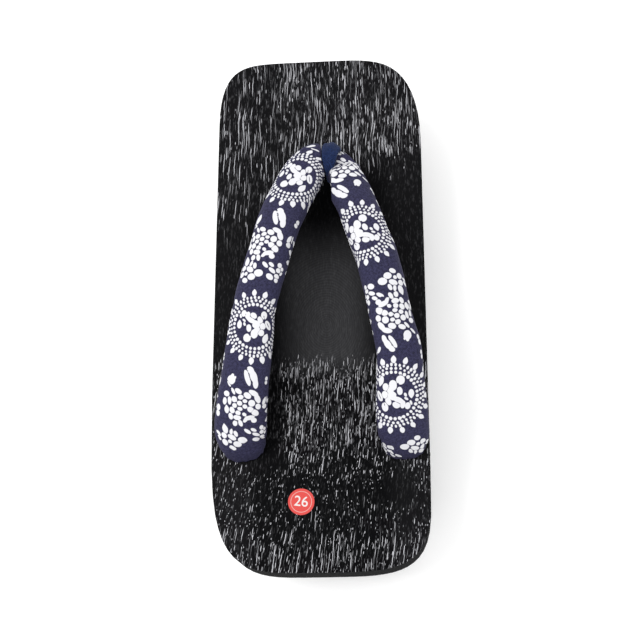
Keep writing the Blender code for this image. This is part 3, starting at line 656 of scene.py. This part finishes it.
def pressToLoop(points, middle):
    # the neck keeps inside the loop's window, and the arm is pressed flat on the loop's side
    frontX, frontY = strap["front"]
    frontX = frontX + toeLoop["lean"]
    x, y = points[..., 0] - frontX, points[..., 1] - frontY
    z = points[..., 2] - strap["deckTop"] - neckHeight
    half = loopHalfWidth(points[..., 2] - strap["deckTop"]) * loopTaper(middle[:, :1] - frontX, y)
    half = half + strap["gap"]
    away = (middle[:, 0] - frontX)[:, None]
    neck = np.abs(away) < toeLoop["width"] / 2
    window = np.hypot(y / (windowReach - 0.0003), z / (windowRise - 0.0003))
    shrink = np.where(neck & (window > 1), 1 / np.maximum(window, 1e-6), 1)
    points[..., 1] = frontY + y * shrink
    points[..., 2] = strap["deckTop"] + neckHeight + z * shrink
    # clear of the ring's outer edge the cloth may close in over it
    ring = np.hypot(y / (windowReach + toeLoop["band"]), z / (windowRise + toeLoop["band"]))
    ring = np.where(z < 0, np.abs(y) / (windowReach + toeLoop["band"]), ring)
    clear = np.clip((ring - 1.0) / toeLoop["clear"], 0, 1)
    allowed = half * np.sqrt(1 - clear**2 * 0.94)
    sign = np.sign(away)
    points[..., 0] = np.where(~neck & (x * sign < allowed), frontX + sign * allowed, points[..., 0])
    return points


def moreRows(table, at):
    # evenly spaced rows between the rows on both sides of a place
    share = np.linspace(0, 1, strap["shoulderRows"] + 2)[1:-1]
    share = share.reshape((-1,) + (1,) * (table.ndim - 1))
    return np.concatenate([table[:at], table[at - 1] * (1 - share) + table[at] * share, table[at:]])


def makeArm(name, rows, hole, lean, placements, creases, cloth):
    points, middle = armSurface(rows, hole, lean)
    along, across = clothPlaces(points)
    flow = np.cross(np.gradient(points, axis=0), np.gradient(points, axis=1))
    crest = strap["around"] // 2
    outward = unit(flow + 1e-12) * np.sign(flow[len(flow) // 2, crest, 2])
    points = points + outward * (creaseDepth(along, across, creases) / 1000)[..., None]
    points[:, 0] = points[:, -1] = (points[:, 0] + points[:, -1]) / 2
    points = pressToLoop(points, middle)
    # the shoulder beside the loop gets rows of its own, so that the print lies on it
    widest = np.linalg.norm(np.diff(points, axis=0), axis=2).max(axis=1)
    shoulder = int(np.argmax(widest[:strap["along"] // 4])) + 1
    points, across, along = (moreRows(table, shoulder) for table in (points, across, along))
    laid = laidPlaces(points, along)
    depth = printDepth(laid, across, placements)
    floor = strap["deckTop"] + strap["gap"]
    points[..., 2] = np.maximum(points[..., 2], floor)
    # the end turns in to the hole and goes down it
    turn = np.linspace(-math.pi, math.pi, strap["around"] + 1)
    rim = np.stack([hole[0] + strap["plug"] * np.sin(turn), hole[1] + strap["plug"] * np.cos(turn)], 1)
    if np.linalg.norm(points[-1, crest, :2] - rim[crest]) > np.linalg.norm(points[-1, crest, :2] - rim[0]):
        rim = np.stack([hole[0] + strap["plug"] * np.sin(turn), hole[1] - strap["plug"] * np.cos(turn)], 1)
    high = np.column_stack([rim, np.full(len(rim), floor)])
    low = np.column_stack([rim, np.full(len(rim), strap["deckTop"] - strap["plugDepth"])])
    points = np.concatenate([points, high[None], low[None]])
    extra = np.zeros((2, across.shape[1]))
    across = np.concatenate([across, across[-1:] + extra])
    depth = np.concatenate([depth, extra - 1])
    laid = np.concatenate([laid, laid[-1:] + 8.0, laid[-1:] + 14.0])
    bpy.ops.object.select_all(action="DESELECT")
    bpy.ops.mesh.primitive_grid_add(x_subdivisions=strap["around"], y_subdivisions=len(points) - 1, size=1)
    arm = bpy.context.object
    arm.name = name
    movePoints(arm, points.reshape(-1, 3))
    inside = arm.data.attributes.new("printDepth", "FLOAT", "POINT")
    inside.data.foreach_set("value", depth.astype(np.float32).ravel())
    place = arm.data.attributes.new("clothPlace", "FLOAT_VECTOR", "POINT")
    places = np.stack([across, laid, 0 * across], -1)
    place.data.foreach_set("vector", places.astype(np.float32).ravel())
    bpy.ops.object.mode_set(mode="EDIT")
    bpy.ops.mesh.select_all(action="SELECT")
    bpy.ops.mesh.remove_doubles(threshold=0.000002)
    bpy.ops.mesh.select_all(action="DESELECT")
    bpy.ops.mesh.select_non_manifold(
        extend=False, use_wire=False, use_multi_face=False, use_non_contiguous=False, use_verts=False
    )
    bpy.ops.mesh.edge_face_add()
    bpy.ops.mesh.select_all(action="SELECT")
    bpy.ops.mesh.normals_make_consistent(inside=False)
    bpy.ops.object.mode_set(mode="OBJECT")
    bpy.ops.object.shade_smooth()
    paint(arm, cloth)
    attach(arm, "root")
    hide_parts("strap")


cotton = {
    "navy": (0.0235, 0.0225, 0.053, 1),
    "white": (0.68, 0.68, 0.705, 1),
    "thread": 0.42, "line": 0.13,      # mm
    "roughness": 0.82,
}


def weaveHeight(tree, place, thread):
    # the threads' small hills, over and under
    xyz = addNode(tree, "ShaderNodeSeparateXYZ", {0: place})
    u = calc(tree, "MULTIPLY", xyz.outputs[0], math.pi / thread)
    v = calc(tree, "MULTIPLY", xyz.outputs[1], math.pi / thread)
    return calc(tree, "MULTIPLY", calc(tree, "SINE", u), calc(tree, "SINE", v))


def shaded(tree, colour, tone):
    grey = addNode(tree, "ShaderNodeCombineColor", {0: tone, 1: tone, 2: tone}).outputs[0]
    return mixColour(tree, 1.0, colour, grey, "MULTIPLY")


def makePrintCotton():
    material, tree, shader = startMaterial("navy print cotton")
    place = addNode(tree, "ShaderNodeAttribute", attribute_name="clothPlace").outputs["Vector"]
    depth = addNode(tree, "ShaderNodeAttribute", attribute_name="printDepth").outputs["Fac"]
    bleed = calc(tree, "MULTIPLY", calc(tree, "SUBTRACT", noiseOf(tree, place, 1.9, 2.0), 0.5), 0.22)
    ink = softStep(tree, calc(tree, "ADD", depth, bleed), -0.09, 0.07)
    weave = weaveHeight(tree, place, cotton["thread"])
    slub = noiseOf(tree, place, 0.9, 4.0, 0.7)
    # the navy's tone is the slub's uneven dye plus painted shade in the hollows of the weave
    tone = calc(tree, "MULTIPLY", softStep(tree, slub, 0.32, 0.68), 0.90)
    tone = calc(tree, "MULTIPLY_ADD", weave, 0.42, tone)
    tone = calc(tree, "ADD", tone, 0.62)
    navy = shaded(tree, cotton["navy"], tone)
    # the white gets a little painted shade in the weave's hollows too
    pale = calc(tree, "ADD", calc(tree, "MULTIPLY", weave, 0.03), 0.97)
    white = shaded(tree, cotton["white"], pale)
    tree.links.new(mixColour(tree, ink, navy, white), shader.inputs["Base Color"])
    shader.inputs["Roughness"].default_value = cotton["roughness"]
    shader.inputs["Sheen Weight"].default_value = 0.02
    shader.inputs["Specular IOR Level"].default_value = 0.15
    height = calc(tree, "ADD", calc(tree, "MULTIPLY", weave, 0.5), calc(tree, "MULTIPLY", ink, 0.5))
    addBump(tree, shader, height, 0.35, 0.00012)
    return material


printCotton = makePrintCotton()
makeArm("strap_left_arm", leftArm, strap["leftHole"], -1, leftPrint, leftCreases, printCotton)
makeArm("strap_right_arm", rightArm, strap["rightHole"], 1, rightPrint, rightCreases, printCotton)
print("geta: strap made")


# ---- the toe loop: a folded band of plain blue cotton

blueCotton = {
    "lit": (0.012, 0.027, 0.090, 1),
    "deep": (0.002, 0.005, 0.024, 1),
    "folds": 3, "foldDepth": 0.00028, "thread": 0.00040,
}


def makeBlueCotton():
    material, tree, shader = startMaterial("blue cotton")
    place = addNode(tree, "ShaderNodeTexCoord").outputs["Object"]
    xyz = addNode(tree, "ShaderNodeSeparateXYZ", {0: place})
    u = calc(tree, "SINE", calc(tree, "MULTIPLY", xyz.outputs[0], math.pi / blueCotton["thread"]))
    round_ = calc(tree, "ADD", xyz.outputs[1], calc(tree, "MULTIPLY", xyz.outputs[2], -1.0))
    v = calc(tree, "SINE", calc(tree, "MULTIPLY", round_, math.pi / blueCotton["thread"]))
    weave = calc(tree, "MULTIPLY", u, v)
    # the mix from deep to lit blue follows random mottle and the weave, with painted shade in the weave's
    # hollows
    patch = calc(tree, "ADD", noiseOf(tree, place, 900.0, 4.0, 0.7), calc(tree, "MULTIPLY", weave, 0.26))
    colour = mixColour(tree, softStep(tree, patch, 0.2, 0.8), blueCotton["deep"], blueCotton["lit"])
    tree.links.new(colour, shader.inputs["Base Color"])
    shader.inputs["Roughness"].default_value = 0.88
    shader.inputs["Sheen Weight"].default_value = 0.05
    shader.inputs["Specular IOR Level"].default_value = 0.15
    addBump(tree, shader, weave, 0.45, 0.00010)
    return material


def makeToeLoop():
    loop = nodes["toe_loop"].copy()
    loop.data = nodes["toe_loop"].data.copy()
    for key in list(loop.keys()):
        del loop[key]
    loop.name = "toe_loop_cloth"
    loop.parent = None
    scene.collection.objects.link(loop)
    plainSelect(loop)
    bpy.ops.object.mode_set(mode="EDIT")
    bpy.ops.mesh.select_all(action="SELECT")
    bpy.ops.mesh.remove_doubles(threshold=0.00001)
    bpy.ops.object.mode_set(mode="OBJECT")
    remesh = loop.modifiers.new("even faces", "REMESH")
    remesh.mode = "VOXEL"
    remesh.voxel_size = toeLoop["voxel"]
    soft = loop.modifiers.new("soft", "SMOOTH")
    soft.factor = 0.5
    soft.iterations = toeLoop["softSteps"]
    applyAll(loop)
    points = pointsOf(loop)
    normals = np.empty(len(points) * 3, np.float32)
    loop.data.vertices.foreach_get("normal", normals)
    normals = normals.reshape(-1, 3)
    # folds run round the ring and draw together down the stem
    frontX, frontY = strap["front"]
    half = loopHalfWidth(points[:, 2] - strap["deckTop"])
    share = (points[:, 0] - frontX) / half
    height = points[:, 2] - strap["deckTop"]
    sway = 0.25 * np.sin(height * 520) + 0.2 * np.sin(points[:, 1] * 700)
    fold = np.cos((share + sway) * blueCotton["folds"] * math.pi / 1.6)
    inner = np.abs(normals[:, 0])
    depth = blueCotton["foldDepth"] * fold * (1 - 0.8 * inner) * np.clip((height + 0.001) / 0.003, 0, 1)
    points = points + normals * depth[:, None]
    above = np.clip((height - 0.0005) / 0.006, 0, 1)
    x, y = points[:, 0] - frontX, points[:, 1] - frontY
    taper = 1 + (toeLoop["wider"] * loopTaper(x, y) - 1) * above
    points[:, 0] = frontX + x * taper + toeLoop["lean"] * above
    # its front edge slopes down on the right and is rounded on the left
    right, left = np.clip(x / half, 0, 1), np.clip(-x / half, 0, 1)
    points[:, 1] -= (0.0026 * right**1.4 + 0.0012 * left**3) * np.clip((y - 0.002) / 0.006, 0, 1) * above
    movePoints(loop, points)
    bpy.ops.object.shade_smooth()
    paint(loop, makeBlueCotton())
    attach(loop, "root")
    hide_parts("toe_loop")


makeToeLoop()
print("geta: toe loop made")


# ---- the cords that hold the strap, each tied in a knot under the deck

cords = {
    "radius": 0.0021, "knotRadius": 0.0022, "tail": 0.0120, "around": 24, "pitch": 0.0075, "lobe": 0.10,
    "deckBottom": 0.0300, "sunk": 0.0060,
    "tailBends": ((0.3, 0.25), (0.7, 0.40), (1.0, 0.45)),      # out and down, in shares of the tail
    "dark": (0.010, 0.010, 0.011, 1), "pale": (0.050, 0.050, 0.055, 1),
}


def ropeTube(points, radius):
    # rings round a path, with three twisted strands in their outline
    path = np.array(points)
    along = np.concatenate([[0], np.cumsum(np.linalg.norm(np.diff(path, axis=0), axis=1))])
    count = max(8, int(along[-1] / 0.0005))
    even = np.linspace(0, along[-1], count)
    path = np.stack([np.interp(even, along, path[:, i]) for i in range(3)], 1)
    for _ in range(6):
        path[1:-1] = (path[:-2] + 2 * path[1:-1] + path[2:]) / 4
    run = unit(np.gradient(path, axis=0))
    side = unit(np.cross(run[0], (0.31, 0.94, 0.12)))
    rings = []
    turn = np.linspace(0, 2 * math.pi, cords["around"], endpoint=False)
    for i in range(count):
        side = unit(side - run[i] * (side @ run[i]))
        up = np.cross(run[i], side)
        twist = 2 * math.pi * even[i] / cords["pitch"]
        size = radius * (1 - cords["lobe"] + cords["lobe"] * np.abs(np.cos(1.5 * (turn - twist))) * 1.6)
        end = min(even[i], even[-1] - even[i]) / radius
        size = size * (0.55 + 0.45 * min(1, end) ** 0.5)
        rings.append(path[i] + np.outer(np.cos(turn) * size, side) + np.outer(np.sin(turn) * size, up))
    return rings


def ringsToMesh(name, tubes):
    points, faces = [], []
    for rings in tubes:
        base, n = len(points), len(rings[0])
        for ring in rings:
            points.extend(ring)
        for i in range(len(rings) - 1):
            here, ahead = base + i * n, base + (i + 1) * n
            for j in range(n):
                k = (j + 1) % n
                faces.append((here + j, here + k, ahead + k, ahead + j))
        faces.append(tuple(base + j for j in reversed(range(n))))
        faces.append(tuple(base + (len(rings) - 1) * n + j for j in range(n)))
    mesh = bpy.data.meshes.new(name)
    mesh.from_pydata([tuple(p) for p in points], [], faces)
    obj = bpy.data.objects.new(name, mesh)
    scene.collection.objects.link(obj)
    plainSelect(obj)
    bpy.ops.object.mode_set(mode="EDIT")
    bpy.ops.mesh.select_all(action="SELECT")
    bpy.ops.mesh.normals_make_consistent(inside=False)
    bpy.ops.object.mode_set(mode="OBJECT")
    bpy.ops.object.shade_smooth()
    return obj


def makeCordFibre():
    material, tree, shader = startMaterial("black cord")
    place = addNode(tree, "ShaderNodeTexCoord").outputs["Object"]
    fibre = noiseOf(tree, place, 2600.0, 3.0)
    tree.links.new(mixColour(tree, fibre, cords["dark"], cords["pale"]), shader.inputs["Base Color"])
    shader.inputs["Roughness"].default_value = 0.85
    shader.inputs["Specular IOR Level"].default_value = 0.25
    addBump(tree, shader, fibre, 0.6, 0.00015)
    return material


def makeCord(nodeName, x, y, fibre):
    knotZ = cords["deckBottom"] - strap["gap"] - cords["knotRadius"] - 0.0002
    top = strap["deckTop"] - cords["sunk"] - strap["gap"]
    ring = cords["knotRadius"] + 0.8 * cords["radius"]
    tail = cords["tail"]
    stem = [(x, y, top), (x, y, knotZ + 0.002)]
    other = [(x - 0.0012, y, knotZ + 0.0014)]
    for out, down in cords["tailBends"]:
        stem.append((x - out * tail, y, knotZ - down * tail))
        other.append((x + out * tail, y, knotZ - down * tail))
    wrap = []
    for i in range(45):
        turn = 2 * math.pi * i / 40
        height = knotZ + 0.0006 * math.sin(turn) - 0.0010 * i / 44 + 0.0005
        wrap.append((x + ring * math.cos(turn), y + ring * math.sin(turn), height))
    tubes = [ropeTube(path, cords["radius"]) for path in (stem, other)]
    tubes.append(ropeTube(wrap, cords["knotRadius"]))
    obj = ringsToMesh(nodeName + "_rope", tubes)
    paint(obj, fibre)
    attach(obj, "root")
    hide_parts(nodeName)


cordFibre = makeCordFibre()
makeCord("front_cord", *strap["front"], cordFibre)
makeCord("left_cord", *strap["leftHole"], cordFibre)
makeCord("right_cord", *strap["rightHole"], cordFibre)
print("geta: cords tied")


# ---- the round paper size dot on the heel, with a plain number

sizeDot = {
    "place": (-0.0093, -0.0991), "radius": 0.0063, "thickness": 0.00008,
    "ringOut": 0.0051, "ringIn": 0.0048, "number": "26", "numberHeight": 0.0050, "turn": -7.0,
    "fontScale": 1.38, "lift": 0.00001, "bolder": 0.00004,
    "red": (0.60, 0.032, 0.024, 1), "white": (0.68, 0.64, 0.62, 1), "pink": (0.64, 0.33, 0.30, 1),
}


def makePaper(name, colour):
    material, tree, shader = startMaterial(name)
    place = addNode(tree, "ShaderNodeTexCoord").outputs["Object"]
    grain = noiseOf(tree, place, 3000.0, 3.0)
    darker = tuple(c * 0.88 for c in colour[:3]) + (1,)
    tree.links.new(mixColour(tree, grain, darker, colour), shader.inputs["Base Color"])
    shader.inputs["Roughness"].default_value = 0.42
    addBump(tree, shader, grain, 0.15, 0.00003)
    return material


def makeSizeDot():
    x, y = sizeDot["place"]
    top = strap["deckTop"] + sizeDot["thickness"]
    red, white = makePaper("red paper", sizeDot["red"]), makePaper("white ink", sizeDot["white"])
    bpy.ops.object.select_all(action="DESELECT")
    bpy.ops.mesh.primitive_cylinder_add(
        vertices=96, radius=sizeDot["radius"], depth=sizeDot["thickness"],
        location=(x, y, top - sizeDot["thickness"] / 2),
    )
    dot = bpy.context.object
    dot.name = "size_dot_paper"
    bpy.ops.object.transform_apply(location=True, rotation=True, scale=True)
    bpy.ops.object.mode_set(mode="EDIT")
    bpy.ops.mesh.select_all(action="DESELECT")
    bpy.ops.object.mode_set(mode="OBJECT")
    for face in dot.data.polygons:
        face.select = face.normal.z > 0.9
    bpy.ops.object.mode_set(mode="EDIT")
    bpy.ops.mesh.inset(thickness=sizeDot["radius"] - sizeDot["ringOut"])
    bpy.ops.mesh.inset(thickness=sizeDot["ringOut"] - sizeDot["ringIn"])
    bpy.ops.object.mode_set(mode="OBJECT")
    dot.data.materials.append(red)
    dot.data.materials.append(makePaper("pale ink", sizeDot["pink"]))
    for face in dot.data.polygons:
        away = math.hypot(face.center.x - x, face.center.y - y)
        if face.normal.z > 0.9 and sizeDot["ringIn"] * 0.98 < away < sizeDot["ringOut"]:
            face.material_index = 1
    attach(dot, "root")
    bpy.ops.object.select_all(action="DESELECT")
    bpy.ops.object.text_add(location=(x, y, top + sizeDot["lift"]))
    number = bpy.context.object
    number.name = "size_dot_number"
    number.data.body = sizeDot["number"]
    number.data.size = sizeDot["numberHeight"] * sizeDot["fontScale"]
    number.data.align_x = "CENTER"
    number.data.align_y = "CENTER"
    number.data.extrude = sizeDot["lift"]
    number.data.offset = sizeDot["bolder"]
    number.rotation_euler.z = math.radians(sizeDot["turn"])
    bpy.ops.object.convert(target="MESH")
    bpy.ops.object.transform_apply(location=True, rotation=True, scale=True)
    paint(bpy.context.object, white)
    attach(bpy.context.object, "root")


makeSizeDot()
print("geta: size dot stuck on")


# ---- pale floor and soft studio light

studio = {
    "world": (1.0, 1.0, 1.0, 1), "worldStrength": 1.08,
    "keyPlace": (-0.74, 0.06, 1.32), "keySize": 0.80, "keyPower": 10.0,
    "fillPlace": (0.30, -0.95, 1.10), "fillSize": 0.9, "fillPower": 0.8,
    "floor": (0.98, 0.98, 0.98, 1), "floorSize": 6.0, "floorGlow": 0.18,
}


def areaLight(name, place, size, power):
    data = bpy.data.lights.new(name, "AREA")
    data.shape = "SQUARE"
    data.size = size
    data.energy = power
    obj = bpy.data.objects.new(name, data)
    obj.location = place
    obj.rotation_mode = "QUATERNION"
    obj.rotation_quaternion = (Vector((0, 0, 0.04)) - Vector(place)).to_track_quat("-Z", "Y")
    scene.collection.objects.link(obj)


def makeStudio():
    world = bpy.data.worlds.new("studio")
    world.use_nodes = True
    back = world.node_tree.nodes["Background"]
    back.inputs["Color"].default_value = studio["world"]
    back.inputs["Strength"].default_value = studio["worldStrength"]
    scene.world = world
    areaLight("key", studio["keyPlace"], studio["keySize"], studio["keyPower"])
    areaLight("fill", studio["fillPlace"], studio["fillSize"], studio["fillPower"])
    bpy.ops.object.select_all(action="DESELECT")
    bpy.ops.mesh.primitive_plane_add(size=studio["floorSize"], location=(0, 0, 0))
    floor = bpy.context.object
    floor.name = "floor"
    material, tree, shader = startMaterial("pale floor")
    shader.inputs["Base Color"].default_value = studio["floor"]
    shader.inputs["Roughness"].default_value = 0.9
    shader.inputs["Specular IOR Level"].default_value = 0.1
    shader.inputs["Emission Color"].default_value = studio["floor"]
    shader.inputs["Emission Strength"].default_value = studio["floorGlow"]
    paint(floor, material)


makeStudio()
print("geta: studio lit")
